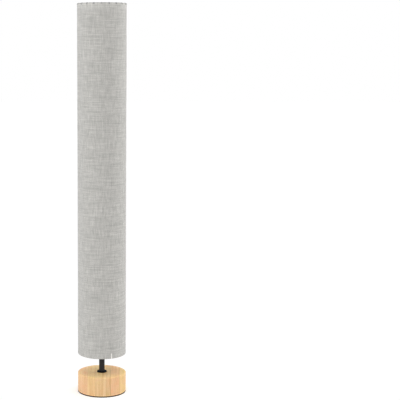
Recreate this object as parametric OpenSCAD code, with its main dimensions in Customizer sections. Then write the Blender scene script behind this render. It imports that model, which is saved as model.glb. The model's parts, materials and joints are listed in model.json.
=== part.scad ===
// Column floor lamp: a tall sleeve of linen on a knock-down wire frame, over a
// sectional pole on a weighted wooden drum. One screw-in bulb stands on the
// pole, inside the upper part of the shade.
// Millimetres. The floor is z = 0, the pole is the Z axis and -Y is the front.
// Angles around the lamp are counted from the front towards +X.

/* [Whole lamp] */
// Height from the floor to the top of the rim stitches
total_h = 1200; // [900:10:1500]
// Bare pole between the top of the base and the lower edge of the shade
gap_h = 60; // [40:1:120]

/* [Base] */
// Diameter of the wooden drum
base_d = 150; // [140:1:220]
// Height of the wooden drum
base_h = 58; // [48:1:80]
// Rounding of the drum's upper and lower edge
base_edge = 2; // [0.5:0.5:4]
// Thickness of the foam foot pad
pad_t = 3; // [2:0.5:6]
// How far the pad stays inside the drum's edge
pad_inset = 0.5; // [0:0.5:4]
// Diameter of the cast iron weight
weight_d = 118; // [96:1:124]
// Thickness of the cast iron weight
weight_t = 18; // [10:1:22]
// Free height under the weight for the nut and the cord
cord_space = 14; // [14:0.5:16]
// Radial play between the weight and its recess
weight_play = 1; // [0.5:0.5:2]
// Diameter of the circle of weight screws
screw_circle = 84; // [50:1:90]
// Number of weight screws
screw_count = 3; // [2:1:6]
// Shank diameter of a weight screw
screw_d = 5; // [4:0.5:6]
// Length of thread that a weight screw has in the wood
screw_grip = 12; // [8:1:14]
// Diameter of a weight screw's head
screw_head_d = 9; // [8:0.5:12]
// Height of a weight screw's head
screw_head_t = 3; // [2:0.5:4]

/* [Cord inlet] */
// Diameter of the hole that the cord runs through
inlet_d = 6.6; // [5:0.2:8]
// Outer diameter of the gland's barrel
gland_d = 10; // [9.4:0.2:11]
// Diameter of the gland's flange
gland_flange_d = 14; // [13:0.5:15]
// Thickness of the gland's flange
gland_flange_t = 1.5; // [1:0.25:2.5]
// How far the gland's barrel reaches into the recess
gland_tail = 1.5; // [0:0.5:4]
// Height of the gland's flange above the drum's lower face
gland_lift = 1.5; // [1:0.25:4]

/* [Pole] */
// Outer diameter of the pole
pole_d = 17.5; // [14:0.5:22]
// Wall of the pole's tubes
pole_wall = 1; // [0.8:0.1:1.6]
// Outer diameter of the hollow threaded nipples
nipple_d = 10; // [9.5:0.1:11]
// Bore of the hollow threaded nipples
nipple_bore = 7.4; // [7:0.1:8]
// Length of thread in the end of each tube
thread_len = 10; // [8:1:14]
// Diameter of the black disc between the pole and the wood
collar_d = 31; // [24:1:50]
// Thickness of that disc
collar_t = 3; // [2:0.5:6]
// Rounding of that disc's upper edge
collar_edge = 1.5; // [0.5:0.5:2]
// Width across the corners of the nut under the weight
nut_corners = 19.6; // [18:0.2:22]
// Height of that nut
nut_t = 5; // [4:0.5:6]
// Diameter of the washer under the weight
washer_d = 24; // [20:1:30]
// Thickness of that washer
washer_t = 1.5; // [1:0.25:2]
// How far the base's nipple shows below its nut
nipple_end = 1; // [0.5:0.5:3]

/* [Shade] */
// Outer diameter of the cloth sleeve
shade_d = 149; // [140:1:200]
// Thickness of the cloth
cloth_t = 0.8; // [0.6:0.1:1.2]
// Wire diameter of the two rings
ring_wire_d = 3; // [2.5:0.1:4]
// Slack between the rings and the cloth
ring_slack = 0.3; // [0.2:0.1:0.6]
// Length of cloth folded down inside each ring
hem_len = 12; // [8:1:20]
// Width of the notch in that cloth at each strut
notch_w = 7; // [6.5:0.5:10]
// Distance of a notch from the middle of the ring's wire, towards the pole
notch_in = 1; // [0.5:0.25:1.5]
// Number of thread tacks over the upper rim
tack_count = 20; // [12:1:30]
// Length of a tack along the rim
tack_w = 4.5; // [3:0.5:7]
// Thickness of a tack's thread over the cloth
tack_t = 1; // [0.8:0.1:1.6]
// How far a tack reaches down the outside of the cloth
tack_leg = 1.5; // [0.5:0.5:5]
// Width of the pale tab on the lower hem
tab_w = 3; // [2:0.5:6]
// Height of the pale tab
tab_h = 15; // [10:1:20]
// Thickness of the pale tab
tab_t = 0.3; // [0.2:0.1:0.5]
// Place of the tab around the shade
tab_turn = 24; // [0:1:48]

/* [Shade frame] */
// Place of the first of the three struts around the shade
strut_turn = 51; // [0:1:119]
// Diameter of the struts
strut_d = 3; // [2.5:0.1:3.6]
// Outer diameter of the ferrules and sleeves that hold the struts
ferrule_d = 5; // [4.6:0.1:6]
// Depth of strut held in a ferrule or a sleeve
ferrule_depth = 11; // [8:1:16]
// Metal between a strut's end and the arm that it stands on
seat_floor = 0.5; // [0.4:0.1:2]
// Thickness of metal between two struts inside a sleeve
sleeve_stop = 1.5; // [1:0.5:3]
// Diameter of the arms' wire
arm_d = 4; // [3:0.2:4.6]
// Diameter of the lower wheel's hub
hub_d = 26; // [22:1:34]
// Thickness of the lower wheel's hub
hub_t = 3; // [2:0.5:4]
// Thickness of the flat ring that sits on the lampholder
fitter_t = 2; // [1.5:0.5:4]
// How far that flat ring shows beyond the nut above it
fitter_lip = 1; // [0.6:0.2:3]

/* [Lampholder] */
// Outer diameter of the lampholder's barrel
holder_d = 39; // [37:0.5:44]
// Wall of the barrel
holder_wall = 2; // [1.5:0.25:2.5]
// Height of the barrel
holder_h = 42; // [38:1:44]
// Height of the domed cap under the barrel
holder_cap_h = 14; // [12:1:18]
// Wall of the domed cap
holder_cap_wall = 2; // [1.5:0.25:3]
// Diameter of the flat foot of that cap
holder_foot_d = 22; // [20:1:26]
// Height of the threaded boss inside the cap
holder_boss_h = 8; // [6:0.5:9]
// Height of the shoulder's lower face above the barrel's lower end
shoulder_z = 10; // [8:1:14]
// Width of that shoulder
shoulder_w = 4; // [3:0.5:5]
// Thickness of that shoulder
shoulder_t = 2.5; // [2:0.5:4]
// Height of the ring nut that clamps the shade
ring_nut_h = 7; // [5:0.5:10]
// Wall of the ring nut
ring_nut_wall = 4; // [3:0.5:6]
// Number of grip grooves around the ring nut
ring_nut_grooves = 24; // [12:1:30]
// Radius of a grip groove
groove_r = 1; // [0.5:0.1:1.5]
// Thickness of the insulating core's floor
core_t = 6; // [5:0.5:8]
// Height of the contact tongue above that floor
tongue_h = 7; // [5:0.5:9]
// Thickness of the contact tongue
tongue_t = 0.6; // [0.4:0.1:0.8]
// Width of the contact tongue
tongue_w = 6; // [4:0.5:8]
// Length of the tongue's riveted foot
tongue_foot = 4; // [3:0.5:5]
// Wall of the brass screw shell
shell_wall = 0.5; // [0.4:0.1:0.8]
// Height of the core's wall around the foot of the screw shell
shell_grip = 8; // [4:0.5:10]
// How far the screw shell starts below the bulb's screw cap
shell_foot = 3; // [2:0.5:4]
// How far the screw shell ends below the barrel's rim
shell_drop = 2; // [1:0.5:4]
// Width of the ledge that the screw shell stands on
core_ledge = 1; // [0.6:0.1:2]
// Diameter of a terminal screw's head
terminal_head_d = 5.6; // [4.5:0.1:6.5]
// Height of a terminal screw's head
terminal_head_t = 2; // [1.5:0.25:2.5]
// Shank diameter of a terminal screw
terminal_d = 3; // [2.5:0.1:3.5]
// Length of a terminal screw in the core
terminal_grip = 4; // [3:0.5:4.5]
// Free depth beyond the end of a terminal screw
terminal_gap = 0.5; // [0.2:0.1:1]
// Distance of the terminal screws from the axis
terminal_r = 11.4; // [11:0.1:12]

/* [Bulb] */
// Distance from the upper rim of the shade down to the middle of the globe
bulb_drop = 200; // [150:5:400]
// Length of the bulb, from its foot contact to its crown
bulb_len = 110; // [104:1:120]
// Diameter of the globe
globe_d = 60; // [56:1:70]
// Distance from the middle of the globe down to the housing's top
globe_cut = 16; // [10:1:20]
// Wall of the globe and of the housing
globe_wall = 1.2; // [0.8:0.1:2]
// Diameter of the housing where it leaves the screw cap
housing_foot_d = 27.6; // [27:0.2:30]
// Thickness of the housing's top plate
housing_plate_t = 2; // [1.5:0.5:3]
// Thickness of the board that carries the lights
board_t = 1.6; // [1:0.1:2]
// Radial play of that board inside the globe
board_play = 0.5; // [0.2:0.1:1]
// Diameter over the screw cap
cap_d = 26.2; // [26:0.1:26.4]
// Height of the screw cap
cap_h = 21; // [20:0.5:22]
// Wall of the screw cap
cap_wall = 0.6; // [0.4:0.1:1]
// Height of the screw cap that has no thread
cap_plain = 4; // [3:0.5:6]
// Lead of the screw thread, one turn
thread_lead = 3.629; // [3.5:0.001:3.7]
// Diameter of the foot contact
contact_d = 10; // [8:0.5:11]
// Height of the foot contact
contact_t = 2; // [1.5:0.5:3]
// Height of the black insulator above the foot contact
insulator_h = 4; // [3:0.5:5]
// How far the insulator shows around the foot contact
insulator_lip = 0.5; // [0.2:0.1:1.5]
// Diameter of the insulator where it meets the screw cap
insulator_d = 22; // [18:1:23]

/* [Play between pieces] */
// Radial play of a thread or a rod in its hole, drawn smooth
thread_play = 0.05; // [0.03:0.01:0.1]
// Gap between the ends of a nipple and of the thread that it sits in
thread_gap = 0.5; // [0.3:0.1:1]
// Radial play of a nipple or a screw in a plain hole
hole_play = 0.25; // [0.2:0.05:0.5]
// Radial play between the screw cap and its shell
cap_play = 0.3; // [0.2:0.1:0.5]
// Free space between the foot contact and the tongue
contact_play = 0.2; // [0.1:0.1:0.4]
// Free space between the cloth and what is sewn on it
sewn_play = 0.1; // [0.08:0.01:0.3]
// Overlap of two wires where they are welded
weld = 0.5; // [0.4:0.1:0.8]

/* [Hidden] */
$fn = 96;
big = 1000;
past = 1; // how far a cutting shape runs past the solid that it cuts

// Base, from the floor up
drum_r = base_d / 2;
base_top = pad_t + base_h;
weight_z = pad_t + cord_space;
recess_r = weight_d / 2 + weight_play;
recess_h = cord_space + weight_t;
washer_z = weight_z - washer_t;
nut_z = washer_z - nut_t;
nipple_r = nipple_d / 2;
nipple_hole_r = nipple_r + hole_play;
collar_top = base_top + collar_t;
inlet_z = pad_t + gland_flange_d / 2 + gland_lift;
spot_y = drum_r - gland_flange_t;
gland_y = recess_r - gland_tail;

// Rings and cloth
cloth_r = shade_d / 2;
cloth_in = cloth_r - cloth_t;
fold_in = ring_wire_d / 2 + ring_slack;
fold_out = fold_in + cloth_t;
ring_r = cloth_r - fold_out;
rim_z = total_h - sewn_play - tack_t;
top_ring_z = rim_z - fold_out;
shade_low = base_top + gap_h;
low_ring_z = shade_low + fold_out;
strut_r = ring_r - ring_wire_d / 2 - ferrule_d / 2 + weld;
strut_turns = [for (i = [0:2]) strut_turn + 120 * i];

// Bulb and lampholder, from the globe down
globe_r = globe_d / 2;
globe_z = rim_z - bulb_drop;
foot_z = globe_z + globe_r - bulb_len;
cap_z = foot_z + contact_t + insulator_h;
housing_z = cap_z + cap_h;
plate_z = globe_z - globe_cut;
plate_r = sqrt(pow(globe_r, 2) - pow(globe_cut, 2));
cap_r = cap_d / 2;
core_top = foot_z - contact_play - tongue_h;
barrel_z = core_top - core_t;
barrel_r = holder_d / 2;
barrel_in = barrel_r - holder_wall;
core_r = barrel_in - thread_play;
shell_in = cap_r + cap_play;
shell_z = cap_z - shell_foot;
shell_top = barrel_z + holder_h - shell_drop;
holder_cap_z = barrel_z - holder_cap_h;
fitter_z = barrel_z + shoulder_z + shoulder_t;
fitter_r = barrel_r + max(shoulder_w, ring_nut_wall + thread_play) + fitter_lip;
carrier_z = fitter_z + fitter_t / 2;

// Pole
hub_z = low_ring_z - hub_t / 2;
hub_top = low_ring_z + hub_t / 2;
pole_len = (holder_cap_z - hub_top) / 3;
thread_in = thread_len - thread_gap;

// Struts: three rods below the carrier, joined by sleeves, and one above it
low_seat = low_ring_z + arm_d / 2 + seat_floor;
carrier_web = arm_d + 2 * seat_floor;
carrier_low = carrier_z - carrier_web / 2;
carrier_high = carrier_z + carrier_web / 2;
rod_len = (carrier_low - low_seat - 2 * sleeve_stop) / 3;
rod_step = rod_len + sleeve_stop;
top_seat = top_ring_z - ring_wire_d / 2;

// Colours
wood = "#e6bf90";
iron = "#4a4a4c";
zinc = "#b9bcc0";
black = "#191919";
white_wire = "#e8e8e4";
linen = "#bdbbb6";
brass = "#c9a24c";
bakelite = "#1d1c1b";
milk = "#f4f2ec";

// ---- shared shapes ----

// Tube standing on z
module tube(z, h, r_out, r_in) {
    translate([0, 0, z])
        difference() {
            cylinder(h = h, r = r_out);
            translate([0, 0, -past]) cylinder(h = h + 2 * past, r = r_in);
        }
}

// Hollow nipple standing on z
module nipple(z, h) {
    tube(z, h, nipple_r, nipple_bore / 2);
}

// Short nipple that joins two tubes whose ends stand face to face at z
module coupler(z, between = 0) {
    nipple(z - thread_in, 2 * thread_in + between);
}

// Pole tube with a threaded socket at each end
module pole_tube(z, h) {
    translate([0, 0, z])
        difference() {
            cylinder(h = h, d = pole_d);
            translate([0, 0, -past])
                cylinder(h = h + 2 * past, r = nipple_r + thread_play);
            translate([0, 0, thread_len])
                cylinder(h = h - 2 * thread_len, r = pole_d / 2 - pole_wall);
        }
}

// Ring of round wire at height z
module wire_ring(z) {
    translate([0, 0, z])
        rotate_extrude()
            translate([ring_r, 0]) circle(d = ring_wire_d);
}

// Puts its children at a place around the lamp, at radius r
module around(turn, r = 0) {
    rotate([0, 0, turn]) translate([0, -r, 0]) children();
}

// Straight wire arms from radius r_from to r_to at height z, one to each strut
module arms(z, r_from, r_to) {
    for (turn = strut_turns)
        around(turn, r_from)
            translate([0, 0, z]) rotate([90, 0, 0]) cylinder(h = r_to - r_from, d = arm_d);
}

// Bores for the struts' ends, from z upwards
module strut_bores(z, h) {
    for (turn = strut_turns)
        around(turn, strut_r)
            translate([0, 0, z]) cylinder(h = h, r = strut_d / 2 + thread_play);
}

// Round posts at the struts' places
module strut_posts(z, h, d) {
    for (turn = strut_turns)
        around(turn, strut_r) translate([0, 0, z]) cylinder(h = h, d = d);
}

// Sleeves that join two rods, with a stop between them that starts at z
module strut_sleeve_row(z) {
    difference() {
        strut_posts(z - ferrule_depth, 2 * ferrule_depth + sleeve_stop, ferrule_d);
        strut_bores(z - ferrule_depth - past, ferrule_depth + past);
        strut_bores(z + sleeve_stop, ferrule_depth + past);
    }
}

// Cloth folded over a ring: half a tube round the wire and a flap inside it.
// side is 1 for the upper rim and -1 for the lower one.
module hem(z, side) {
    difference() {
        translate([0, 0, z])
            rotate_extrude()
                translate([ring_r, 0])
                    scale([1, side]) hem_outline();
        for (turn = strut_turns)
            around(turn, ring_r - notch_in)
                translate([-notch_w / 2, 0, z - big / 2])
                    cube([notch_w, 2 * fold_out, big]);
    }
}

// Section of the upper hem, with the ring wire's centre as its origin
module hem_outline() {
    difference() {
        circle(r = fold_out);
        circle(r = fold_in);
        translate([-big / 2, -big]) square(big);
    }
    translate([-fold_out, -hem_len]) square([cloth_t, hem_len]);
}

// Section of a disc with its upper edge rounded by e
module rounded_disc(r, h, e) {
    square([r, h - e]);
    square([r - e, h]);
    translate([r - e, h - e]) circle(r = e);
}

// ---- base ----

module foot_pad() {
    color(black) cylinder(h = pad_t, r = drum_r - pad_inset);
}

// Drum section: both edges rounded
module drum_outline() {
    translate([0, base_edge])
        rounded_disc(drum_r, base_h - base_edge, base_edge);
    square([drum_r - base_edge, base_h]);
    translate([drum_r - base_edge, base_edge]) circle(r = base_edge);
}

module wood_base() {
    color(wood)
        difference() {
            translate([0, 0, pad_t]) rotate_extrude() drum_outline();
            translate([0, 0, pad_t - past]) cylinder(h = recess_h + past, r = recess_r);
            cylinder(h = base_top + past, r = nipple_hole_r);
            weight_screw_places()
                cylinder(h = weight_t + screw_grip + past, r = screw_d / 2 + thread_play);
            along_inlet(0) cylinder(h = base_d, r = gland_d / 2 + thread_play);
            along_inlet(spot_y) cylinder(h = base_d, r = gland_flange_d / 2 + hole_play);
        }
}

// Puts its children on the inlet's axis, y from the pole and pointing backwards
module along_inlet(y) {
    translate([0, y, inlet_z]) rotate([-90, 0, 0]) children();
}

// Puts its children at each weight screw, on the weight's lower face
module weight_screw_places() {
    for (i = [0:screw_count - 1])
        around(i * 360 / screw_count, screw_circle / 2)
            translate([0, 0, weight_z]) children();
}

module base_weight() {
    color(iron)
        difference() {
            translate([0, 0, weight_z]) cylinder(h = weight_t, d = weight_d);
            translate([0, 0, weight_z - past])
                cylinder(h = weight_t + 2 * past, r = nipple_hole_r);
            weight_screw_places()
                translate([0, 0, -past])
                    cylinder(h = weight_t + 2 * past, r = screw_d / 2 + hole_play);
        }
}

module weight_screws() {
    color(zinc)
        weight_screw_places() {
            cylinder(h = weight_t + screw_grip, d = screw_d);
            translate([0, 0, -screw_head_t]) cylinder(h = screw_head_t, d = screw_head_d);
        }
}

module base_washer() {
    color(zinc) tube(washer_z, washer_t, washer_d / 2, nipple_hole_r);
}

module base_nut() {
    color(zinc)
        translate([0, 0, nut_z])
            difference() {
                cylinder(h = nut_t, d = nut_corners, $fn = 6);
                translate([0, 0, -past])
                    cylinder(h = nut_t + 2 * past, r = nipple_r + thread_play);
            }
}

module base_nipple() {
    color(zinc) nipple(nut_z - nipple_end, collar_top + thread_in - nut_z + nipple_end);
}

module cord_gland() {
    color(black)
        difference() {
            union() {
                along_inlet(gland_y) cylinder(h = drum_r - gland_y, d = gland_d);
                along_inlet(spot_y) cylinder(h = gland_flange_t, d = gland_flange_d);
            }
            along_inlet(gland_y - past)
                cylinder(h = drum_r - gland_y + 2 * past, d = inlet_d);
        }
}

module base_collar() {
    color(black)
        translate([0, 0, base_top])
            difference() {
                rotate_extrude() rounded_disc(collar_d / 2, collar_t, collar_edge);
                translate([0, 0, -past])
                    cylinder(h = collar_t + 2 * past, r = nipple_hole_r);
            }
}

// ---- pole ----

module stem() {
    color(black) pole_tube(collar_top, hub_z - collar_top);
}

module stem_coupler() {
    color(zinc) coupler(hub_z, hub_t);
}

module lower_pole() {
    color(black) pole_tube(hub_top, pole_len);
}

module lower_coupler() {
    color(zinc) coupler(hub_top + pole_len);
}

module middle_pole() {
    color(black) pole_tube(hub_top + pole_len, pole_len);
}

module upper_coupler() {
    color(zinc) coupler(hub_top + 2 * pole_len);
}

module upper_pole() {
    color(black) pole_tube(hub_top + 2 * pole_len, pole_len);
}

module holder_nipple() {
    color(zinc) nipple(holder_cap_z - thread_in, thread_in + holder_boss_h);
}

// ---- shade frame ----

module bottom_wheel() {
    color(white_wire)
        difference() {
            union() {
                wire_ring(low_ring_z);
                arms(low_ring_z, hub_d / 2 - weld, ring_r - ring_wire_d / 2 + weld);
                translate([0, 0, hub_z]) cylinder(h = hub_t, d = hub_d);
                strut_posts(low_ring_z, low_seat - low_ring_z + ferrule_depth, ferrule_d);
            }
            translate([0, 0, hub_z - past])
                cylinder(h = hub_t + 2 * past, r = nipple_hole_r);
            strut_bores(low_seat, ferrule_depth + past);
        }
}

module lower_struts() {
    color(white_wire) strut_posts(low_seat, rod_len, strut_d);
}

module lower_sleeves() {
    color(white_wire) strut_sleeve_row(low_seat + rod_len);
}

module middle_struts() {
    color(white_wire) strut_posts(low_seat + rod_step, rod_len, strut_d);
}

module upper_sleeves() {
    color(white_wire) strut_sleeve_row(low_seat + rod_step + rod_len);
}

module upper_struts() {
    color(white_wire) strut_posts(low_seat + 2 * rod_step, rod_len, strut_d);
}

module shade_carrier() {
    color(white_wire)
        difference() {
            union() {
                tube(fitter_z, fitter_t, fitter_r, barrel_r + hole_play);
                arms(carrier_z, fitter_r - weld, strut_r);
                strut_posts(
                    carrier_low - ferrule_depth, 2 * ferrule_depth + carrier_web, ferrule_d
                );
            }
            strut_bores(carrier_low - ferrule_depth - past, ferrule_depth + past);
            strut_bores(carrier_high, ferrule_depth + past);
        }
}

module top_struts() {
    color(white_wire) strut_posts(carrier_high, top_seat - carrier_high, strut_d);
}

module top_ring() {
    color(white_wire)
        difference() {
            union() {
                wire_ring(top_ring_z);
                strut_posts(
                    top_seat - ferrule_depth, ferrule_depth + ring_wire_d / 2, ferrule_d
                );
            }
            strut_bores(top_seat - ferrule_depth - past, ferrule_depth + past);
        }
}

// ---- cloth ----

module shade_cloth() {
    color(linen) tube(low_ring_z, top_ring_z - low_ring_z, cloth_r, cloth_in);
}

module top_hem() {
    color(linen) hem(top_ring_z, 1);
}

module bottom_hem() {
    color(linen) hem(low_ring_z, -1);
}

// Section of a tack, with the ring wire's centre as its origin
module tack_outline() {
    inner = fold_out + sewn_play;
    difference() {
        circle(r = inner + tack_t);
        circle(r = inner);
        translate([-big / 2, -big]) square(big);
    }
    translate([inner, -tack_leg]) square([tack_t, tack_leg]);
}

module rim_tacks() {
    color("#55585e")
        for (i = [0:tack_count - 1])
            around(i * 360 / tack_count, ring_r)
                translate([tack_w / 2, 0, top_ring_z])
                    rotate([90, 0, -90]) linear_extrude(tack_w) tack_outline();
}

module hem_tab() {
    color(milk)
        intersection() {
            tube(low_ring_z, tab_h, cloth_r + sewn_play + tab_t, cloth_r + sewn_play);
            around(tab_turn, 2 * cloth_r)
                translate([-tab_w / 2, 0, 0]) cube([tab_w, 2 * cloth_r, big]);
        }
}

// ---- lampholder ----

// Section of a bowl: flat foot of radius foot, quarter round out to radius r
module bowl_outline(foot, r, h) {
    round_r = r - foot;
    square([foot, h]);
    intersection() {
        square([r, h]);
        union() {
            translate([foot, round_r]) circle(r = round_r);
            translate([0, round_r]) square([r, h]);
        }
    }
}

module holder_cap() {
    wall = holder_cap_wall;
    color(bakelite)
        translate([0, 0, holder_cap_z])
            difference() {
                union() {
                    difference() {
                        rotate_extrude()
                            bowl_outline(holder_foot_d / 2, barrel_r, holder_cap_h);
                        translate([0, 0, wall])
                            rotate_extrude()
                                bowl_outline(
                                    holder_foot_d / 2, core_r - wall, holder_cap_h
                                );
                    }
                    cylinder(h = holder_boss_h, r = nipple_r + wall);
                }
                translate([0, 0, -past])
                    cylinder(h = holder_cap_h, r = nipple_r + thread_play);
            }
}

module holder_barrel() {
    color(bakelite) {
        tube(barrel_z, holder_h, barrel_r, barrel_in);
        tube(barrel_z + shoulder_z, shoulder_t, barrel_r + shoulder_w, barrel_r - weld);
    }
}

module holder_core() {
    wall_in = shell_in + shell_wall + thread_play;
    color(milk)
        difference() {
            translate([0, 0, barrel_z])
                cylinder(h = shell_z + shell_grip - barrel_z, r = core_r);
            translate([0, 0, core_top]) cylinder(h = big, r = shell_in - core_ledge);
            translate([0, 0, shell_z]) cylinder(h = big, r = wall_in);
            terminal_places()
                cylinder(h = terminal_grip + terminal_gap, r = terminal_d / 2 + thread_play);
        }
}

// Puts its children at the two terminal screws, on the core's lower face
module terminal_places() {
    for (turn = [90, 270])
        around(turn, terminal_r) translate([0, 0, barrel_z]) children();
}

module terminal_screws() {
    color(brass)
        terminal_places() {
            cylinder(h = terminal_grip, d = terminal_d);
            translate([0, 0, -terminal_head_t])
                cylinder(h = terminal_head_t, d = terminal_head_d);
        }
}

// Bent strip: a foot riveted to the core, a ramp, and a pad under the contact
module centre_contact() {
    t = tongue_t;
    h = tongue_h;
    pad = contact_d / 2;
    heel = pad + tongue_foot;
    color(brass)
        translate([0, tongue_w / 2, core_top])
            rotate([90, 0, 0])
                linear_extrude(tongue_w)
                    polygon([
                        [-heel, 0], [-pad, 0], [t / 2, h - t], [pad, h - t],
                        [pad, h], [-t / 2, h], [-pad - t, t], [-heel, t]
                    ]);
}

module screw_shell() {
    color(brass) tube(shell_z, shell_top - shell_z, shell_in + shell_wall, shell_in);
}

module ring_nut() {
    nut_in = barrel_r + thread_play;
    nut_out = nut_in + ring_nut_wall;
    color(bakelite)
        difference() {
            tube(fitter_z + fitter_t, ring_nut_h, nut_out, nut_in);
            for (i = [0:ring_nut_grooves - 1])
                around(i * 360 / ring_nut_grooves, nut_out)
                    translate([0, 0, fitter_z]) cylinder(h = big, r = groove_r);
        }
}

// ---- bulb ----

module bulb_contact() {
    color(zinc) translate([0, 0, foot_z]) cylinder(h = contact_t, d = contact_d);
}

module bulb_insulator() {
    color("#151515")
        translate([0, 0, foot_z + contact_t])
            cylinder(
                h = insulator_h, d1 = contact_d + 2 * insulator_lip, d2 = insulator_d
            );
}

// Screw cap: its thread is drawn as rolled rings one lead apart
module bulb_cap() {
    rings = floor((cap_h - cap_plain) / thread_lead);
    round_r = thread_lead / 4;
    color(zinc)
        difference() {
            translate([0, 0, cap_z])
                rotate_extrude() {
                    square([cap_r - round_r, cap_h]);
                    for (i = [1:rings])
                        translate([cap_r - round_r, i * thread_lead]) circle(r = round_r);
                }
            translate([0, 0, cap_z + cap_wall])
                cylinder(h = cap_h, r = cap_r - round_r - cap_wall);
        }
}

// Outer radius of the housing at a share t of its height
function housing_r(t) =
    housing_foot_d / 2 + (plate_r - housing_foot_d / 2) * sin(90 * t);

module bulb_housing() {
    h = plate_z - housing_z;
    inner_h = h - housing_plate_t;
    steps = 10;
    color(milk)
        translate([0, 0, housing_z])
            rotate_extrude()
                difference() {
                    polygon([
                        [0, 0], for (i = [0:steps]) [housing_r(i / steps), h * i / steps],
                        [0, h]
                    ]);
                    polygon([
                        [0, -past], [housing_r(0) - globe_wall, -past],
                        for (i = [0:steps])
                            [housing_r(i / steps) - globe_wall, inner_h * i / steps],
                        [0, inner_h]
                    ]);
                }
}

module led_board() {
    color(milk)
        translate([0, 0, plate_z])
            cylinder(h = board_t, r = plate_r - globe_wall - board_play);
}

module bulb_globe() {
    color("#fffdf6")
        difference() {
            translate([0, 0, globe_z]) sphere(r = globe_r);
            translate([0, 0, globe_z]) sphere(r = globe_r - globe_wall);
            translate([0, 0, plate_z - globe_d]) cylinder(h = globe_d, r = globe_d);
        }
}

foot_pad();
wood_base();
base_weight();
weight_screws();
base_washer();
base_nut();
base_nipple();
cord_gland();
base_collar();
stem();
stem_coupler();
lower_pole();
lower_coupler();
middle_pole();
upper_coupler();
upper_pole();
holder_nipple();
bottom_wheel();
lower_struts();
lower_sleeves();
middle_struts();
upper_sleeves();
upper_struts();
shade_carrier();
top_struts();
top_ring();
shade_cloth();
top_hem();
bottom_hem();
rim_tacks();
hem_tab();
holder_cap();
holder_barrel();
holder_core();
terminal_screws();
centre_contact();
screw_shell();
ring_nut();
bulb_contact();
bulb_insulator();
bulb_cap();
bulb_housing();
led_board();
bulb_globe();
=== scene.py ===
"""Looks of the column floor lamp: camera, light, finishes, linen sleeve, tacks, tab and screw threads."""

import json
import math
import random

import bpy
from mathutils import Matrix, Vector, noise


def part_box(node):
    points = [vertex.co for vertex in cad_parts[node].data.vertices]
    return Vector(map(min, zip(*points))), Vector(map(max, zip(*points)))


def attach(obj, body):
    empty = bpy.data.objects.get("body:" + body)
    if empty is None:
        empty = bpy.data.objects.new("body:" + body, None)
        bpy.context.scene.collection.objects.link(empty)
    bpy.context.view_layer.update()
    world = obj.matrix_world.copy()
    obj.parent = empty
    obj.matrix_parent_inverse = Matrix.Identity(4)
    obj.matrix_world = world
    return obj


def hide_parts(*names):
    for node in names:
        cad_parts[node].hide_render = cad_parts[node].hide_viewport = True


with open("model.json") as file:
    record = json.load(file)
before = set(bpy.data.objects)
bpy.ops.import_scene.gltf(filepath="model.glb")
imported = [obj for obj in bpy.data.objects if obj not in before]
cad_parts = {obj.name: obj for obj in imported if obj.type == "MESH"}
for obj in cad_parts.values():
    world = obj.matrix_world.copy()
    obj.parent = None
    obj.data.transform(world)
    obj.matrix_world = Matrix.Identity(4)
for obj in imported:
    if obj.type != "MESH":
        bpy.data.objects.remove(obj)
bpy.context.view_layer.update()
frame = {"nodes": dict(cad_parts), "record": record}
nodes = frame["nodes"]
TAU = 2 * math.pi
rng = random.Random(11)


# ---- camera ----

def aim(yaw, pitch):
    """Rotation of an upright camera facing +Y, turned right by yaw and down by pitch, in degrees."""
    y, p = math.radians(yaw), math.radians(pitch)
    up = Vector((0, 0, 1))
    ahead = Vector((math.sin(y), math.cos(y), 0))
    side = Vector((math.cos(y), -math.sin(y), 0))
    look = ahead * math.cos(p) - up * math.sin(p)
    top = up * math.cos(p) + ahead * math.sin(p)
    return Matrix((side, top, -look)).transposed()


camera = bpy.data.objects.new("camera", bpy.data.cameras.new("camera"))
bpy.context.scene.collection.objects.link(camera)
bpy.context.scene.camera = camera
camera.data.sensor_width = 36
camera.data.lens = 98.686
# The camera faces the lamp's axis, and the shift alone puts the lamp left of the middle.
camera.data.shift_x = 0.2453
camera.data.clip_end = 60
eye = Vector((0.04999, -3.33772, 1.05362))
camera.matrix_world = Matrix.Translation(eye) @ aim(-0.858, 7.674).to_4x4()


# ---- node graphs ----

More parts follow.
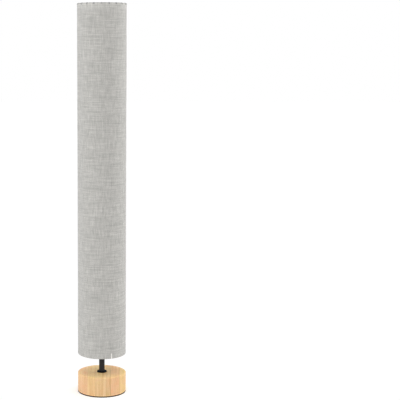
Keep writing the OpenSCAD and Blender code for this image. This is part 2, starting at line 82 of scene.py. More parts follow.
class Graph:
    """A material and short calls for its nodes. A socket takes a number, a colour or what feeds it."""

    def __init__(self, name, **fixed):
        self.material = bpy.data.materials.new(name)
        self.material.use_nodes = True
        self.tree = self.material.node_tree
        self.shader = self.tree.nodes["Principled BSDF"]
        self.fix(**fixed)

    def fix(self, **fixed):
        for key, value in fixed.items():
            self.put(self.shader.inputs[key.replace("_", " ")], value)

    def put(self, socket, value):
        if isinstance(value, bpy.types.NodeSocket):
            self.tree.links.new(value, socket)
        elif socket.type == "RGBA" and len(value) == 3:
            socket.default_value = (*value, 1)
        else:
            socket.default_value = value

    def node(self, kind, out=0, inputs=(), **props):
        made = self.tree.nodes.new(kind)
        for key, value in props.items():
            setattr(made, key, value)
        for key, value in dict(inputs).items():
            self.put(made.inputs[key], value)
        return made.outputs[out]

    def math(self, operation, a, b=None, c=None):
        values = {i: v for i, v in enumerate((a, b, c)) if v is not None}
        return self.node("ShaderNodeMath", inputs=values, operation=operation)

    def add(self, a, b):
        return self.math("ADD", a, b)

    def times(self, a, b):
        return self.math("MULTIPLY", a, b)

    def coords(self):
        return self.node("ShaderNodeTexCoord", "Object")

    def parts(self, vector):
        made = self.tree.nodes.new("ShaderNodeSeparateXYZ")
        self.tree.links.new(vector, made.inputs[0])
        return made.outputs

    def join(self, x, y, z):
        return self.node("ShaderNodeCombineXYZ", inputs={0: x, 1: y, 2: z})

    def scaled(self, vector, by, turn=(0, 0, 0)):
        return self.node("ShaderNodeMapping", inputs={"Vector": vector, "Scale": by, "Rotation": turn})

    def noise(self, vector, scale=1.0, detail=2.0, rough=0.5):
        inputs = {"Vector": vector, "Scale": scale, "Detail": detail, "Roughness": rough}
        return self.node("ShaderNodeTexNoise", inputs=inputs)

    def cells(self, vector, scale=1.0):
        return self.node("ShaderNodeTexVoronoi", "Distance", {"Vector": vector, "Scale": scale})

    def ramp(self, value, stops, step=False):
        made = self.tree.nodes.new("ShaderNodeValToRGB")
        made.color_ramp.interpolation = "CONSTANT" if step else "LINEAR"
        bar = made.color_ramp.elements
        while len(bar) > 1:
            bar.remove(bar[-1])
        for i, (at, tone) in enumerate(stops):
            mark = bar[0] if i == 0 else bar.new(at)
            mark.position = at
            mark.color = (*tone, 1) if hasattr(tone, "__len__") else (tone, tone, tone, 1)
        self.put(made.inputs[0], value)
        return made.outputs[0]

    def spread(self, value, low, high, to_low=0.0, to_high=1.0):
        inputs = {"Value": value, "From Min": low, "From Max": high, "To Min": to_low, "To Max": to_high}
        return self.node("ShaderNodeMapRange", inputs=inputs)

    def mix(self, share, a, b, blend="MIX"):
        made = self.tree.nodes.new("ShaderNodeMix")
        made.data_type, made.blend_type = "RGBA", blend
        for i, value in ((0, share), (6, a), (7, b)):
            self.put(made.inputs[i], value)
        return made.outputs[2]

    def layered(self, colour, *layers):
        """The colour, multiplied by each layer in turn."""
        for layer in layers:
            colour = self.mix(1.0, colour, layer, "MULTIPLY")
        return colour

    def bump(self, height, depth, strength=1.0):
        inputs = {"Height": height, "Distance": depth, "Strength": strength}
        return self.node("ShaderNodeBump", inputs=inputs)


def shade_of(tone, by):
    return tuple(c * by for c in tone)


def tinted(tone, by):
    return tuple(c * k for c, k in zip(tone, by))


# ---- the sleeve's sizes, which its weave follows too ----

RING_R = 0.0719
TOP_RING_Z = 1.1963
LOW_RING_Z = 0.1236
FOLD = 0.0022
HALF_CLOTH = 0.0004
HEM = 0.012
TACKS = 20
STRUT_TURNS = [math.radians(a) for a in (51, 171, 291)]
SEAM_TURN = math.radians(188)
TAB_TURN = math.radians(24)
COLUMNS = 360
LAP_STEP = 0.0008
LAP_EDGE = 0.0003
FLAT_LENGTH = 2 * HEM + TAU * FOLD + TOP_RING_Z - LOW_RING_Z
RIM_V = FLAT_LENGTH - HEM - TAU * FOLD / 4


# ---- finishes ----

def linen(tone):
    """Plain weave of slubby flax yarn, from a UV map in metres: u runs round the sleeve and v along it."""
    g = Graph("linen", Sheen_Weight=0.25, Sheen_Roughness=0.45, Specular_IOR_Level=0.2, Roughness=0.85)
    pitch = 0.0009
    u_wander, v_wander = 0.0011, 0.0014
    uv = g.node("ShaderNodeUVMap", uv_map="cloth")
    u, v, _ = g.parts(uv)
    drift = g.noise(uv, 55, 1)
    warp = g.math("DIVIDE", g.math("MULTIPLY_ADD", drift, u_wander, u), pitch)
    weft = g.math("DIVIDE", g.math("MULTIPLY_ADD", drift, v_wander, v), pitch)
    warp_no, weft_no = g.math("FLOOR", warp), g.math("FLOOR", weft)
    warp_tone = g.noise(g.join(g.times(warp_no, 7.31), g.times(v, 38), 2.0), detail=1)
    weft_tone = g.noise(g.join(g.times(u, 13), g.times(weft_no, 5.17), 9.0), detail=1)
    warp_round = g.math("SINE", g.times(g.math("FRACT", warp), math.pi))
    weft_round = g.math("SINE", g.times(g.math("FRACT", weft), math.pi))
    over = g.math("PINGPONG", g.add(warp_no, weft_no), 1.0)
    yarn_tone = g.node("ShaderNodeMix", inputs={0: over, 2: weft_tone, 3: warp_tone})
    up = g.times(warp_round, g.math("MULTIPLY_ADD", weft_round, 0.45, 0.55))
    across = g.times(weft_round, g.math("MULTIPLY_ADD", warp_round, 0.45, 0.55))
    height = g.node("ShaderNodeMix", inputs={0: over, 2: across, 3: up})
    yarn = g.ramp(yarn_tone, [(0.30, 0.79), (0.47, 0.97), (0.60, 1.04), (0.74, 1.19)])
    # Painted shade darkens the gaps between the yarns, with a slight painted highlight on their crowns
    yarn_gap_shade = g.ramp(height, [(0.0, 0.62), (0.45, 1.0), (1.0, 1.05)])

    long_slubs = g.noise(g.scaled(uv, (13, 300, 1)), detail=2, rough=0.6)
    short_slubs = g.noise(g.scaled(uv, (34, 330, 1)), detail=2, rough=0.6)
    upright_slubs = g.noise(g.scaled(uv, (340, 26, 1)), detail=2, rough=0.6)
    cloud = g.noise(uv, 60, 2)
    level = g.math("MULTIPLY_ADD", long_slubs, 1.5, short_slubs)
    slubs = g.math("MULTIPLY_ADD", upright_slubs, 1.7, g.math("MULTIPLY_ADD", cloud, 0.5, level))
    mottle = g.ramp(g.spread(slubs, 1.85, 2.85), [(0.0, 0.82), (0.5, 1.0), (1.0, 1.18)])
    # Tenths of a metre from the rim: painted shade darkens the fold, and the hem is painted paler, partly
    # for its doubled cloth and partly as painted light
    off_rim = g.times(g.math("ABSOLUTE", g.math("SUBTRACT", RIM_V, v)), 10)
    rim_shade_and_hem_light = [(0.0, 0.86), (0.028, 0.88), (0.042, 1.24), (0.065, 1.22), (0.08, 1.10)]
    rim = g.ramp(off_rim, rim_shade_and_hem_light + [(0.15, 1.08), (0.25, 1.0)])
    g.fix(
        Base_Color=g.layered(g.mix(1.0, yarn, tone, "MULTIPLY"), mottle, yarn_gap_shade, rim),
        Normal=g.bump(g.math("MULTIPLY_ADD", yarn_tone, 0.6, height), 0.00028, 0.8),
    )
    return g.material


def thread(tone):
    """Two-ply sewing thread with a little fuzz."""
    g = Graph("thread", Roughness=0.75, Sheen_Weight=0.2, Specular_IOR_Level=0.25)
    place = g.coords()
    plies = {"Vector": g.scaled(place, (1, 1, 0.6), (0.6, 0.5, 0)), "Scale": 420.0, "Distortion": 1.2}
    ply = g.node("ShaderNodeTexWave", "Fac", plies)
    fuzz = g.noise(place, 900, 3, 0.7)
    tint = g.spread(g.noise(place, 55, 1), 0.35, 0.65)
    body = g.mix(tint, tinted(tone, (1.9, 1.7, 1.5)), tinted(tone, (2.5, 2.2, 1.9)))
    # Painted shade darkens the grooves between the plies
    ply_groove_shade = g.ramp(ply, [(0.0, 0.55), (0.5, 1.0)])
    g.fix(Base_Color=g.layered(body, ply_groove_shade), Normal=g.bump(g.add(ply, fuzz), 0.00012, 0.9))
    return g.material


def tape(tone):
    g = Graph("tab_tape", Roughness=0.7, Sheen_Weight=0.2, Specular_IOR_Level=0.25)
    place = g.coords()
    rows = {"Vector": place, "Scale": 700.0, "Distortion": 0.6}
    rib = g.node("ShaderNodeTexWave", "Fac", rows, bands_direction="Z")
    tint = g.spread(g.noise(place, 240, 3), 0.3, 0.7)
    fuzz = g.noise(place, 1500, 2, 0.6)
    colour = g.mix(tint, tone, shade_of(tone, 1.2))
    g.fix(Base_Color=colour, Normal=g.bump(g.add(rib, fuzz), 0.00008, 0.8))
    return g.material


BASE_R = 0.075
BASE_LOW, BASE_TOP = 0.003, 0.061
STRIPS = (
    # left edge (m), tone, seed of its grain
    (-0.0750, (1.02, 0.98, 1.04), 0.13),
    (-0.0435, (1.02, 1.05, 1.02), 0.82),
    (-0.0195, (1.00, 1.05, 1.08), 0.37),
    (0.0130, (0.91, 0.92, 0.92), 0.60),
    (0.0280, (1.02, 0.97, 1.03), 0.95),
    (0.0545, (1.00, 1.03, 0.96), 0.25),
)


def wood(tone):
    """Edge-glued hardwood strips that run front to back, quarter sawn, under a clear satin lacquer."""
    g = Graph("wood", Coat_Weight=0.04, Coat_Roughness=0.30, Specular_IOR_Level=0.15)
    place = g.coords()
    x, y, z = g.parts(place)
    across = g.spread(x, -BASE_R, BASE_R)
    starts = [(edge + BASE_R) / (2 * BASE_R) for edge, _, _ in STRIPS]
    strip = g.ramp(across, [(at, tinted(tone, s[1])) for at, s in zip(starts, STRIPS)], step=True)
    seed = g.ramp(across, [(at, s[2]) for at, s in zip(starts, STRIPS)], step=True)
    lean = g.times(g.math("SUBTRACT", seed, 0.5), 0.14)
    wander = g.noise(g.scaled(g.join(x, y, g.add(z, seed)), (22, 9, 22)), detail=1)
    bent = g.add(g.math("MULTIPLY_ADD", z, lean, x), g.times(wander, 0.006))
    spot = g.join(bent, y, g.math("MULTIPLY_ADD", seed, 7, z))
    ring = g.noise(g.scaled(spot, (380, 5, 9)), detail=3, rough=0.6)
    band = g.noise(g.scaled(spot, (110, 4, 5)), detail=2)
    cloud = g.noise(g.scaled(spot, (40, 22, 40)), detail=2)
    pores = g.noise(g.scaled(place, (2600, 190, 2600)), detail=1)
    fleck = g.noise(g.scaled(place, (700, 60, 260)), detail=2, rough=0.6)
    lines = g.ramp(ring, [(0.30, (0.84, 0.78, 0.68)), (0.42, (0.96, 0.94, 0.91)), (0.60, 1.02)])
    bands = g.ramp(band, [(0.28, (0.90, 0.85, 0.77)), (0.5, 1.0), (0.72, (1.05, 1.06, 1.08))])
    tint = g.ramp(cloud, [(0.30, (1.04, 0.95, 0.90)), (0.5, 1.0), (0.70, (0.99, 1.01, 0.90))])
    specks = g.ramp(pores, [(0.24, (0.62, 0.50, 0.36)), (0.34, 1.0)])
    flecks = g.ramp(fleck, [(0.30, (0.93, 0.90, 0.84)), (0.45, 1.0), (0.70, 1.03)])
    joints, joint_half = [], 0.002
    for at in starts[1:]:
        joints += [(at - joint_half, 1.0), (at, 0.74), (at + joint_half, 1.0)]
    glue = g.ramp(across, joints)
    height = g.spread(z, BASE_LOW, BASE_TOP)
    # Painted light: painted shade at the very foot of the wood, a painted highlight along its lower and
    # upper rounded edges, and a top face painted lighter to make up for the shadow of the lamp's shade
    low_edge_shade_and_highlight = [(0.0, 0.92), (0.012, 1.18), (0.045, 1.16), (0.07, 1.0)]
    high_edge_highlight = [(0.93, 1.0), (0.965, 1.05), (0.985, 1.08), (0.998, 1.08)]
    edges = g.ramp(height, low_edge_shade_and_highlight + high_edge_highlight + [(1.0, (1.26, 1.29, 1.16))])
    gloss = g.spread(g.add(ring, fleck), 0.6, 1.4, 0.52, 0.40)
    relief = g.math("MULTIPLY_ADD", pores, 0.5, ring)
    g.fix(
        Base_Color=g.layered(strip, lines, bands, tint, specks, flecks, glue, edges),
        Roughness=gloss,
        Normal=g.bump(relief, 0.00006, 0.5),
    )
    return g.material


def foam(tone):
    """Closed-cell foam: open cells where it was cut, dust in them, and a brown cast."""
    g = Graph("foot_foam", Roughness=0.95, Specular_IOR_Level=0.2)
    place = g.coords()
    dust = g.spread(g.noise(place, 160, 3), 0.4, 0.7)
    colour = g.mix(dust, tinted(tone, (0.9, 0.75, 0.65)), tinted(tone, (2.4, 1.9, 1.6)))
    g.fix(Base_Color=colour, Normal=g.bump(g.cells(place, 1400), 0.00025, 0.9))
    return g.material


def cast_iron(tone):
    g = Graph("cast_iron", Metallic=0.85)
    place = g.coords()
    grit = g.noise(place, 520, 4, 0.65)
    rust = g.ramp(g.noise(place, 45, 4, 0.6), [(0.60, 0.0), (0.75, 0.55)])
    skin = g.mix(g.spread(grit, 0.35, 0.7), shade_of(tone, 0.7), shade_of(tone, 1.8))
    g.fix(
        Base_Color=g.mix(rust, skin, (0.11, 0.045, 0.018)),
        Roughness=g.spread(grit, 0.3, 0.7, 0.55, 0.8),
        Normal=g.bump(grit, 0.0004, 0.8),
    )
    return g.material


def zinc(tone):
    """Bright zinc over drawn steel: fine lines along the axis and a faint warm and cool bloom."""
    g = Graph("zinc_steel", Metallic=1.0, Anisotropic=0.3)
    place = g.coords()
    drawn = g.noise(g.scaled(place, (160, 160, 9)), detail=3)
    patch = g.noise(place, 90, 3)
    g.fix(
        Base_Color=g.mix(g.spread(patch, 0.35, 0.65), shade_of(tone, 0.85), tinted(tone, (1.25, 1.2, 1.1))),
        Roughness=g.spread(g.add(drawn, patch), 0.7, 1.3, 0.24, 0.44),
        Normal=g.bump(drawn, 0.00003, 0.6),
    )
    return g.material


def paint(name, tone, rough, grain, spread=0.12, depth=0.00005, gloss=0.5):
    """Powder coat or moulded skin: an orange-peel bump, and a tone and a gloss that drift a little."""
    g = Graph(name, Specular_IOR_Level=gloss)
    place = g.coords()
    drift = g.noise(place, grain, 3, 0.6)
    dust = g.noise(place, grain * 6, 4, 0.7)
    patch = g.spread(drift, 0.35, 0.65)
    g.fix(
        Base_Color=g.mix(patch, shade_of(tone, 1 - spread), shade_of(tone, 1 + spread)),
        Roughness=g.spread(g.add(drift, dust), 0.7, 1.3, rough - 0.06, rough + 0.08),
        Normal=g.bump(g.noise(place, 900, 2), depth, 0.7),
    )
    return g.material


def steatite(tone):
    g = Graph("core_white", Roughness=0.7, Subsurface_Weight=0.1, Subsurface_Scale=0.001)
    place = g.coords()
    specks = g.ramp(g.noise(place, 380, 3, 0.7), [(0.30, 1.0), (0.40, 0.0)])
    grit = g.noise(place, 1300, 3)
    g.fix(Base_Color=g.mix(specks, tone, shade_of(tone, 0.6)), Normal=g.bump(grit, 0.0001, 0.6))
    return g.material


def metal(name, tone, rough, dull):
    """Rolled sheet metal: fine lines round the axis, and a thin tarnish in patches."""
    g = Graph(name, Metallic=1.0)
    place = g.coords()
    lines = g.noise(g.scaled(place, (30, 30, 2200)), detail=2)
    patch = g.noise(place, 130, 4, 0.6)
    g.fix(
        Base_Color=g.mix(g.spread(patch, 0.4, 0.75), tone, dull),
        Roughness=g.spread(g.add(lines, patch), 0.7, 1.3, rough - 0.08, rough + 0.14),
        Normal=g.bump(lines, 0.00002, 0.5),
    )
    return g.material


def board(tone):
    """White solder mask with a ring of square yellow emitters."""
    g = Graph("board_white", Roughness=0.35)
    chips, chip_ring, half_turn, half_depth = 16, 0.0170, 0.16, 0.0012
    place = g.coords()
    x, y, _ = g.parts(place)
    ring = g.math("SQRT", g.add(g.times(x, x), g.times(y, y)))
    turn = g.times(g.math("ARCTAN2", y, x), chips / TAU)
    off_middle = g.math("ABSOLUTE", g.math("SUBTRACT", g.math("FRACT", turn), 0.5))
    off_ring = g.math("ABSOLUTE", g.math("SUBTRACT", ring, chip_ring))
    in_turn = g.math("LESS_THAN", off_middle, half_turn)
    chip = g.times(in_turn, g.math("LESS_THAN", off_ring, half_depth))
    mask = g.mix(g.spread(g.noise(place, 600, 2), 0.3, 0.7), shade_of(tone, 0.93), tone)
    g.fix(Base_Color=g.mix(chip, mask, (0.85, 0.60, 0.08)), Normal=g.bump(chip, 0.0003, 0.5))
    return g.material


def diffuser(tone):
    g = Graph("bulb_diffuser", Subsurface_Weight=0.6, Subsurface_Scale=0.004, Specular_IOR_Level=0.5)
    g.fix(Subsurface_Radius=(1.0, 0.9, 0.8))
    place = g.coords()
    haze = g.spread(g.noise(place, 60, 3, 0.6), 0.3, 0.7)
    g.fix(
        Base_Color=g.mix(haze, shade_of(tone, 0.94), tone),
        Roughness=g.spread(haze, 0.0, 1.0, 0.30, 0.42),
        Normal=g.bump(g.noise(place, 1200, 2), 0.00002, 0.4),
    )
    return g.material


tones = {entry["slot"]: tuple(entry["base_color"][:3]) for entry in frame["record"]["materials"]}
finishes = {
    "linen": linen(tones["linen"]),
    "thread": thread(tones["thread"]),
    "tab_tape": tape(tones["tab_tape"]),
    "wood": wood(tones["wood"]),
    "foot_foam": foam(tones["foot_foam"]),
    "cast_iron": cast_iron(tones["cast_iron"]),
    "zinc_steel": zinc(tones["zinc_steel"]),
    # The black paint is painted lighter, as a painted highlight on the stem; the collar gets a much darker
    # copy of the same paint
    "black_paint": paint("black_paint", shade_of(tones["black_paint"], 3.6), 0.5, 60, gloss=0.1),
    "collar_black": paint("collar_black", shade_of(tones["black_paint"], 0.7), 0.6, 60, gloss=0.06),
    "gland_plastic": paint("gland_plastic", tones["gland_plastic"], 0.5, 80, depth=0.00008),
    "wire_white": paint("wire_white", tones["wire_white"], 0.42, 45, 0.04),
    "holder_black": paint("holder_black", tones["holder_black"], 0.36, 70),
    "core_white": steatite(tones["core_white"]),
    "brass": metal("brass", tones["brass"], 0.3, (0.36, 0.20, 0.05)),
    "cap_metal": metal("cap_metal", tones["cap_metal"], 0.3, (0.36, 0.35, 0.33)),
    "insulator_black": paint("insulator_black", tones["insulator_black"], 0.15, 70),
    "bulb_white": paint("bulb_white", tones["bulb_white"], 0.4, 60, 0.03),
    "board_white": board(tones["board_white"]),
    "bulb_diffuser": diffuser(tones["bulb_diffuser"]),
}
for node in nodes.values():
    for place in node.material_slots:
        place.material = finishes[place.material.name.split(".")[0]]
nodes["base_collar"].material_slots[0].material = finishes["collar_black"]


# ---- meshes ----

def make(name, points, faces, finish, body="lamp"):
    """A piece from its points and faces, smooth except at sharp edges, that rides on the body."""
    mesh = bpy.data.meshes.new(name)
    mesh.from_pydata([tuple(p) for p in points], [], faces)
    mesh.validate()
    made = bpy.data.objects.new(name, mesh)
    bpy.context.scene.collection.objects.link(made)
    mesh.materials.append(finishes[finish])
    mesh.shade_smooth()
    mesh.set_sharp_from_angle(angle=math.radians(50))
    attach(made, body)
    return made


def around(turn, r, z):
    """Point at radius r and height z, turned from the front towards +X."""
    return Vector((r * math.sin(turn), -r * math.cos(turn), z))


def bell(x, width):
    return math.exp(-(x / width) ** 2)


def ease(x):
    x = min(1.0, max(0.0, x))
    return x * x * (3 - 2 * x)


def turn_gap(a, b):
    """Signed angle from b to a, from -pi to pi."""
    return (a - b + math.pi) % TAU - math.pi


# ---- linen sleeve ----

def flap_length(turn):
    """The hem's flap is notched at each strut, where the ring has a ferrule."""
    stub, half_notch, corner = 0.0006, 0.0030, 0.0010
    nearest = min(abs(turn_gap(turn, s)) for s in STRUT_TURNS) * RING_R
    return stub + (HEM - stub) * ease((nearest - half_notch) / corner)


def sleeve_path(turn):
    """Middle line of the cloth at that turn, as (radius, z, side): the lower flap from its edge down, the
    fold round the lower ring, the outer face upwards, the fold round the upper ring, and its flap."""
    length = flap_length(turn)
    inner = RING_R - FOLD
    flap, bends, near, middle = 8, 12, 18, 60
    fine = 0.002
    rows = [(inner, LOW_RING_Z + length * (1 - i / flap), -1) for i in range(flap)]
    for i in range(bends + 1):
        a = math.pi * i / bends
        rows.append((RING_R - FOLD * math.cos(a), LOW_RING_Z - FOLD * math.sin(a), 0))
    start, end = LOW_RING_Z + fine * near, TOP_RING_Z - fine * near
    heights = [LOW_RING_Z + fine * i for i in range(1, near)]
    heights += [start + (end - start) * i / middle for i in range(middle + 1)]
    heights += [TOP_RING_Z - fine * i for i in range(near - 1, 0, -1)]
    rows += [(RING_R + FOLD, z, 1) for z in heights]
    for i in range(bends + 1):
        a = math.pi * i / bends
        rows.append((RING_R + FOLD * math.cos(a), TOP_RING_Z + FOLD * math.sin(a), 0))
    rows += [(inner, TOP_RING_Z - length * i / flap, -1) for i in range(1, flap + 1)]
    return rows


def lap_swell(turn):
    """The sleeve's one seam: the cloth's free edge lies on its other end, and thins out past it."""
    lap = turn_gap(turn, SEAM_TURN) * RING_R
    end, fade = 0.014, 0.010
    return LAP_STEP * ease((lap + LAP_EDGE) / LAP_EDGE) * ease((end - lap) / fade)


def sleeve_swell(turn, z):
    """How far the cloth stands out from a true cylinder: slack between the rings, pull at the tacks and
    the double layer of the hems."""
    slack, ripple, pull, puff, doubled = 0.00030, 0.00014, 0.00042, 0.00022, 0.00016
    held, step = 0.05, 0.0015
    spot = Vector((math.sin(turn) * 3.0, math.cos(turn) * 3.0, z * 11))
    down = TOP_RING_Z - z
    swell = slack * noise.noise(spot) + ripple * noise.noise(spot * 3.1)
    swell *= ease((z - LOW_RING_Z) / held) * ease(down / held)
    pulled = math.cos(turn * TACKS)
    swell -= pull * max(0.0, pulled) ** 3 * bell(down - 0.0035, 0.0045)
    swell += puff * (1 - pulled) * bell(down - 0.004, 0.006)
    swell += doubled * ease((LOW_RING_Z + HEM - z) / step)
    swell += doubled * ease((HEM - down) / step)
    return swell


def sleeve_faces(count, lengths, spots):
    """Faces and their places on the flat cloth: outer skin, inner skin, and the two cut edges between."""
    skin = len(spots) * count
    faces, corners = [], []
    for c, here in enumerate(spots):
        d = (c + 1) % len(spots)
        there = spots[d] if d else TAU * (RING_R + FOLD)
        for i in range(count - 1):
            quad = (c * count + i, d * count + i, d * count + i + 1, c * count + i + 1)
            low, high = lengths[i], lengths[i + 1]
            flat = [(here, low), (there, low), (there, high), (here, high)]
            faces += [quad, tuple(skin + k for k in reversed(quad))]
            corners += [flat, flat[::-1]]
        for i, flip in ((0, -1), (count - 1, 1)):
            quad = (c * count + i, d * count + i, skin + d * count + i, skin + c * count + i)
            low, high = lengths[i], lengths[i] + 2 * HALF_CLOTH
            faces.append(quad[::flip])
            corners.append([(here, low), (there, low), (there, high), (here, high)][::flip])
    return faces, corners


def build_sleeve():
    """The whole cloth as one mesh, both hems with it. Its columns start at the seam, where it is joined."""
    turns = [TAU * c / COLUMNS for c in range(COLUMNS)] + [TAU - LAP_EDGE / RING_R]
    free, crown = sleeve_path(0), 0.00018
    count = len(free)
    lengths = [0.0]
    for a, b in zip(free, free[1:]):
        lengths.append(lengths[-1] + math.dist(a[:2], b[:2]))
    outer, inner = [], []
    for turn in (SEAM_TURN + t for t in turns):
        rows = sleeve_path(turn)
        lap = lap_swell(turn)
        for i, (r, z, side) in enumerate(rows):
            before, after = rows[max(0, i - 1)], rows[min(count - 1, i + 1)]
            dr, dz = after[0] - before[0], after[1] - before[1]
            size = math.hypot(dr, dz)
            out_r, out_z = dz / size, -dr / size
            swell = lap + (sleeve_swell(turn, z) if side == 1 else 0.0)
            if side == 0 and z > TOP_RING_Z - FOLD:
                swell += crown * (1 - math.cos(turn * TACKS)) * ease((out_z + 0.4) / 1.4)
            r, z = r + out_r * swell, z + out_z * swell
            outer.append(around(turn, r + out_r * HALF_CLOTH, z + out_z * HALF_CLOTH))
            inner.append(around(turn, r - out_r * HALF_CLOTH, z - out_z * HALF_CLOTH))
    faces, corners = sleeve_faces(count, lengths, [t * (RING_R + FOLD) for t in turns])
    mesh = bpy.data.meshes.new("linen_sleeve")
    mesh.from_pydata([tuple(p) for p in outer + inner], [], faces)
    layer = mesh.uv_layers.new(name="cloth")
    layer.data.foreach_set("uv", [x for face in corners for corner in face for x in corner])
    made = bpy.data.objects.new("linen_sleeve", mesh)
    bpy.context.scene.collection.objects.link(made)
    mesh.materials.append(finishes["linen"])
    mesh.shade_smooth()
    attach(made, "lamp")
    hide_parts("shade_cloth", "top_hem", "bottom_hem")
    return made, (TAU * (RING_R + FOLD), lengths[-1])


# ---- tacks and tab ----

def strand(path, radius, sides=7):
    """Points and faces of a round strand along a path, with closed ends."""
    points, faces = [], []
    last = Vector((0, 0, 1))
    for i, here in enumerate(path):
        ahead = (path[min(i + 1, len(path) - 1)] - path[max(i - 1, 0)]).normalized()
        if i == 0 and abs(ahead.z) > 0.9:
            last = Vector((1, 0, 0))
        last = (last - ahead * last.dot(ahead)).normalized()
        other = ahead.cross(last)
        turns = [TAU * k / sides for k in range(sides)]
        points += [here + (last * math.cos(a) + other * math.sin(a)) * radius for a in turns]
    for i in range(len(path) - 1):
        for k in range(sides):
            m = (k + 1) % sides
            faces.append((i * sides + k, i * sides + m, (i + 1) * sides + m, (i + 1) * sides + k))
    faces.append(tuple(reversed(range(sides))))
    faces.append(tuple((len(path) - 1) * sides + k for k in range(sides)))
    return points, faces


def tack_strand(turn, radius, lift, leg, lean):
    """One strand: up the cloth's outer face, over the rim and into the inner face."""
    reach = FOLD + HALF_CLOTH + radius + lift
    rise, fall, steps = 0.2, 0.88, 16
    foot, inner_leg = 0.0009, 0.0008
    path = []
    for i in range(steps + 1):
        share = i / steps
        here = turn + lean * (2 * share - 1)
        if share < rise:
            drop = 1 - share / rise
            sink = foot * ease((drop - 0.7) / 0.3)
            path.append(around(here, RING_R + reach - sink, TOP_RING_Z - leg * drop))
        elif share > fall:
            drop = (share - fall) / (1 - fall)
            path.append(around(here, RING_R - reach, TOP_RING_Z - inner_leg * drop))
        else:
            a = math.pi * (share - rise) / (fall - rise)
            path.append(around(here, RING_R + reach * math.cos(a), TOP_RING_Z + reach * math.sin(a)))
    return strand(path, radius)


def build_tacks():
    """Each tack is a row of whipped strands over the rim."""
    strands, apart = 8, 0.00054
    points, faces = [], []
    for t in range(TACKS):
        for s in range(strands):
            more, quads = tack_strand(
                turn=TAU * t / TACKS + (s - (strands - 1) / 2) * apart / RING_R,
                radius=rng.uniform(0.00024, 0.00030),
                lift=rng.uniform(0.00002, 0.00016),
                leg=0.0021 + rng.uniform(-0.0005, 0.0006),
                lean=rng.uniform(-0.0004, 0.0004) / RING_R,
            )
            faces += [tuple(len(points) + k for k in quad) for quad in quads]
            points += more
    made = make("rim_tack_threads", points, faces, "thread")
    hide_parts("rim_tacks")
    return made


def build_seam():
    """A straight row of machine stitches that closes the sleeve behind its lap."""
    pitch, thick, inset, steps = 0.0034, 0.00022, 0.0035, 5
    turn = SEAM_TURN + inset / RING_R
    r = RING_R + FOLD + HALF_CLOTH + LAP_STEP
    low, high = LOW_RING_Z, TOP_RING_Z
    points, faces = [], []
    for i in range(int((high - low) / pitch)):
        start = low + pitch * (i + 0.1)
        path = []
        for step in range(steps + 1):
            up = step / steps
            rise = thick * (1.1 * math.sin(math.pi * up) - 0.7)
            swell = sleeve_swell(turn, start)
            path.append(around(turn, r + swell + rise, start + 0.82 * pitch * up))
        more, quads = strand(path, thick, sides=5)
        faces += [tuple(len(points) + k for k in quad) for quad in quads]
        points += more
    return make("seam_stitches", points, faces, "thread")


def build_tab():
    """A blank tape tab that comes round the lower fold, its free end a little proud of the cloth."""
    low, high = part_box("hem_tab")
    width, thick, play, curl, ripple, bow = 0.003, 0.0003, 0.00022, 0.0005, 0.00012, 0.001
    cloth = FOLD + HALF_CLOTH
    bends, straight, columns = 6, 18, 7
    bent = [math.radians(85) * (1 - i / bends) for i in range(bends)]
    places = [(math.cos(a), -math.sin(a), LOW_RING_Z, 0.0) for a in bent]
    steps = [i / straight for i in range(straight + 1)]
    places += [(1.0, 0.0, low.z + (high.z - low.z) * up, up) for up in steps]
    points, faces = [], []
    for layer in (0, thick):
        for out_r, out_z, z, up in places:
            lift = play + curl * bell(up - 1, 0.3) + ripple * math.sin(up * 20)
            for k in range(columns):
                aside = k / (columns - 1) - 0.5
                out = cloth + layer + lift + bow * aside ** 2 * up
                turn = TAB_TURN + aside * width / (RING_R + cloth)
                points.append(around(turn, RING_R + out_r * out, z + out_z * out))
    rows = len(places) - 1
    size = (rows + 1) * columns
    for i in range(rows):
        for k in range(columns - 1):
            a = i * columns + k
            quad = (a, a + 1, a + columns + 1, a + columns)
            faces += [tuple(size + q for q in quad), quad[::-1]]
    rim = list(range(columns))
    rim += [i * columns + columns - 1 for i in range(1, rows + 1)]
    rim += [rows * columns + k for k in range(columns - 2, -1, -1)]
    rim += [i * columns for i in range(rows - 1, 0, -1)]
    faces += [(a, b, size + b, size + a) for a, b in zip(rim, rim[1:] + rim[:1])]
    made = make("hem_tape_tab", points, faces, "tab_tape")
    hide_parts("hem_tab")
    return made


# ---- screw threads of the bulb's cap and of its shell ----

LEAD = 0.003629
ROOT_R, CREST_R = 0.0122, 0.0131
CAP_PLAY = 0.0003
SHEET = 0.0004


def thread_wave(turn, z):
    """From 0 in the groove to 1 on the crest of a right-hand thread."""
    return 0.5 + 0.5 * math.cos(TAU * z / LEAD - turn)


def thread_run(z, first, last):
    """From 0 to 1 and back: the thread runs out over one turn at each of its ends."""
    return ease((z - first) / LEAD) * ease((last - z) / LEAD)


def turned(name, profile, finish, body, closed, columns=120):
    """Mesh swept round the axis. profile(turn) gives (radius, z) rows, and a radius of 0 is one point."""
    points, faces, index = [], [], []
    sections = [profile(TAU * c / columns) for c in range(columns)]
    for i, (r, z) in enumerate(sections[0]):
        if r == 0:
            points.append(Vector((0, 0, z)))
            index.append([len(points) - 1] * columns)
        else:
            index.append(list(range(len(points), len(points) + columns)))
            points += [around(TAU * c / columns, *section[i]) for c, section in enumerate(sections)]
    rows = list(zip(index, index[1:] + index[:1])) if closed else list(zip(index, index[1:]))
    for a, b in rows:
        for c in range(columns):
            d = (c + 1) % columns
            corners = [a[c], a[d], b[d], b[c]]
            faces.append(tuple(k for j, k in enumerate(corners) if k not in corners[:j]))
    return make(name, points, faces, finish, body)


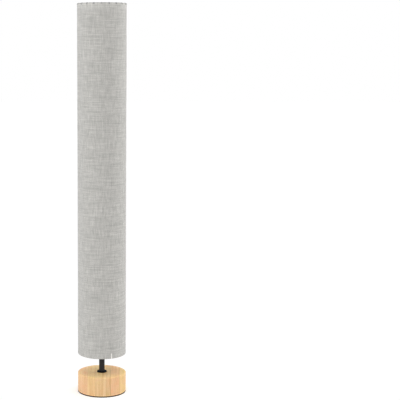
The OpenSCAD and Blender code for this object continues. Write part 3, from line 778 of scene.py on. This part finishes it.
def build_cap_thread():
    """The bulb's screw cap, rolled from sheet, with its helical thread and its turned-in foot."""
    low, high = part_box("bulb_cap")
    foot_round, bends, steps = 0.0010, 6, 110
    first, last = low.z + 0.0014, high.z - 0.0030
    inside = low.z + SHEET * 1.5

    def profile(turn):
        rows = [(0.0, low.z)]
        for i in range(bends + 1):
            a = math.pi / 2 * i / bends
            rows.append((ROOT_R - foot_round * (1 - math.sin(a)), low.z + foot_round * (1 - math.cos(a))))
        outer = []
        for i in range(1, steps + 1):
            z = low.z + foot_round + (high.z - low.z - foot_round) * i / steps
            crest = thread_wave(turn, z) * thread_run(z, first, last)
            outer.append((ROOT_R + (CREST_R - ROOT_R) * crest, z))
        rows += outer
        rows += [(r - SHEET, z) for r, z in reversed(outer)]
        return rows + [(ROOT_R - foot_round, inside), (0.0, inside)]

    made = turned("bulb_screw_cap", profile, "cap_metal", "bulb", closed=False)
    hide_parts("bulb_cap")


def build_shell_thread():
    """The lampholder's brass shell, rolled to the same thread, with a plain foot and a plain lip."""
    low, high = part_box("screw_shell")
    steps = 150
    first, last = low.z + 0.0022, high.z - 0.0015
    plain_r = CREST_R + CAP_PLAY

    def profile(turn):
        rows = []
        for i in range(steps + 1):
            z = low.z + (high.z - low.z) * i / steps
            groove = (1 - thread_wave(turn, z)) * thread_run(z, first, last)
            rows.append((plain_r - (CREST_R - ROOT_R) * groove, z))
        return rows + [(r + SHEET, z) for r, z in reversed(rows)]

    made = turned("shell_screw_thread", profile, "brass", "lamp", closed=True)
    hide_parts("screw_shell")


sleeve, flat_size = build_sleeve()
tacks = build_tacks()
seam = build_seam()
tab = build_tab()
build_cap_thread()
build_shell_thread()


# ---- floor, surroundings and lamps ----

def stage_floor():
    """Pale floor that keeps the lamp's shadow near it, and goes over to plain white further off."""
    half, shadow_end, white_from, glow = 20, 0.09, 0.30, 0.12
    corners = [(-half, -half, 0), (half, -half, 0), (half, half, 0), (-half, half, 0)]
    mesh = bpy.data.meshes.new("floor")
    mesh.from_pydata(corners, [], [(0, 1, 2, 3)])
    floor = bpy.data.objects.new("floor", mesh)
    bpy.context.scene.collection.objects.link(floor)
    g = Graph("floor", Roughness=0.9, Specular_IOR_Level=0.1, Emission_Color=(1, 1, 1))
    place = g.coords()
    x, y, _ = g.parts(place)
    away = g.math("SQRT", g.add(g.times(x, x), g.times(y, y)))
    seen = g.node("ShaderNodeLightPath", "Is Camera Ray")
    share = g.spread(away, shadow_end, white_from)
    pale = g.mix(g.noise(place, 9, 3), (0.92, 0.92, 0.92), (0.94, 0.94, 0.94))
    g.fix(
        Base_Color=g.mix(g.times(seen, share), pale, (0, 0, 0)),
        Emission_Strength=g.times(seen, g.spread(share, 0.0, 1.0, glow, 1.0)),
    )
    mesh.materials.append(g.material)


def white_world(ambient):
    """Surroundings that light evenly, and show plain white to the camera, in gloss and through glass."""
    world = bpy.data.worlds.new("surroundings")
    bpy.context.scene.world = world
    world.use_nodes = True
    tree = world.node_tree
    tree.nodes.clear()
    rays = tree.nodes.new("ShaderNodeLightPath")
    shown = rays.outputs["Is Camera Ray"]
    for kind in ("Is Glossy Ray", "Is Transmission Ray"):
        either = tree.nodes.new("ShaderNodeMath")
        either.operation = "MAXIMUM"
        tree.links.new(shown, either.inputs[0])
        tree.links.new(rays.outputs[kind], either.inputs[1])
        shown = either.outputs[0]
    seen, lit = tree.nodes.new("ShaderNodeBackground"), tree.nodes.new("ShaderNodeBackground")
    seen.inputs["Color"].default_value = (1, 1, 1, 1)
    lit.inputs["Color"].default_value = (0.985, 0.99, 1.0, 1)
    lit.inputs["Strength"].default_value = ambient
    mix, out = tree.nodes.new("ShaderNodeMixShader"), tree.nodes.new("ShaderNodeOutputWorld")
    tree.links.new(shown, mix.inputs[0])
    tree.links.new(lit.outputs[0], mix.inputs[1])
    tree.links.new(seen.outputs[0], mix.inputs[2])
    tree.links.new(mix.outputs[0], out.inputs[0])


def softbox(name, place, target, size, power, tone=(1, 1, 1)):
    """Rectangular lamp at the place, facing the target, with its size in metres and power in watts."""
    light = bpy.data.lights.new(name, "AREA")
    light.shape = "RECTANGLE"
    light.size, light.size_y = size
    light.energy = power
    light.color = tone
    lamp = bpy.data.objects.new(name, light)
    bpy.context.scene.collection.objects.link(lamp)
    lamp.location = place
    lamp.rotation_mode = "QUATERNION"
    lamp.rotation_quaternion = (Vector(target) - Vector(place)).to_track_quat("-Z", "Y")


stage_floor()
white_world(0.80)
softbox("over", (0.2, -0.6, 3.6), (0, 0, 0), (3.0, 3.0), 34)
softbox("front", (-0.6, -3.0, 2.4), (0, 0, 0.1), (2.4, 1.2), 8)
softbox("right", (2.2, 1.0, 1.4), (0, 0, 0.7), (1.0, 2.2), 24)
softbox("left", (-2.3, -0.5, 1.4), (0, 0, 0.7), (1.2, 2.2), 14, (0.96, 0.98, 1.0))
bpy.context.scene.view_settings.view_transform = "Standard"
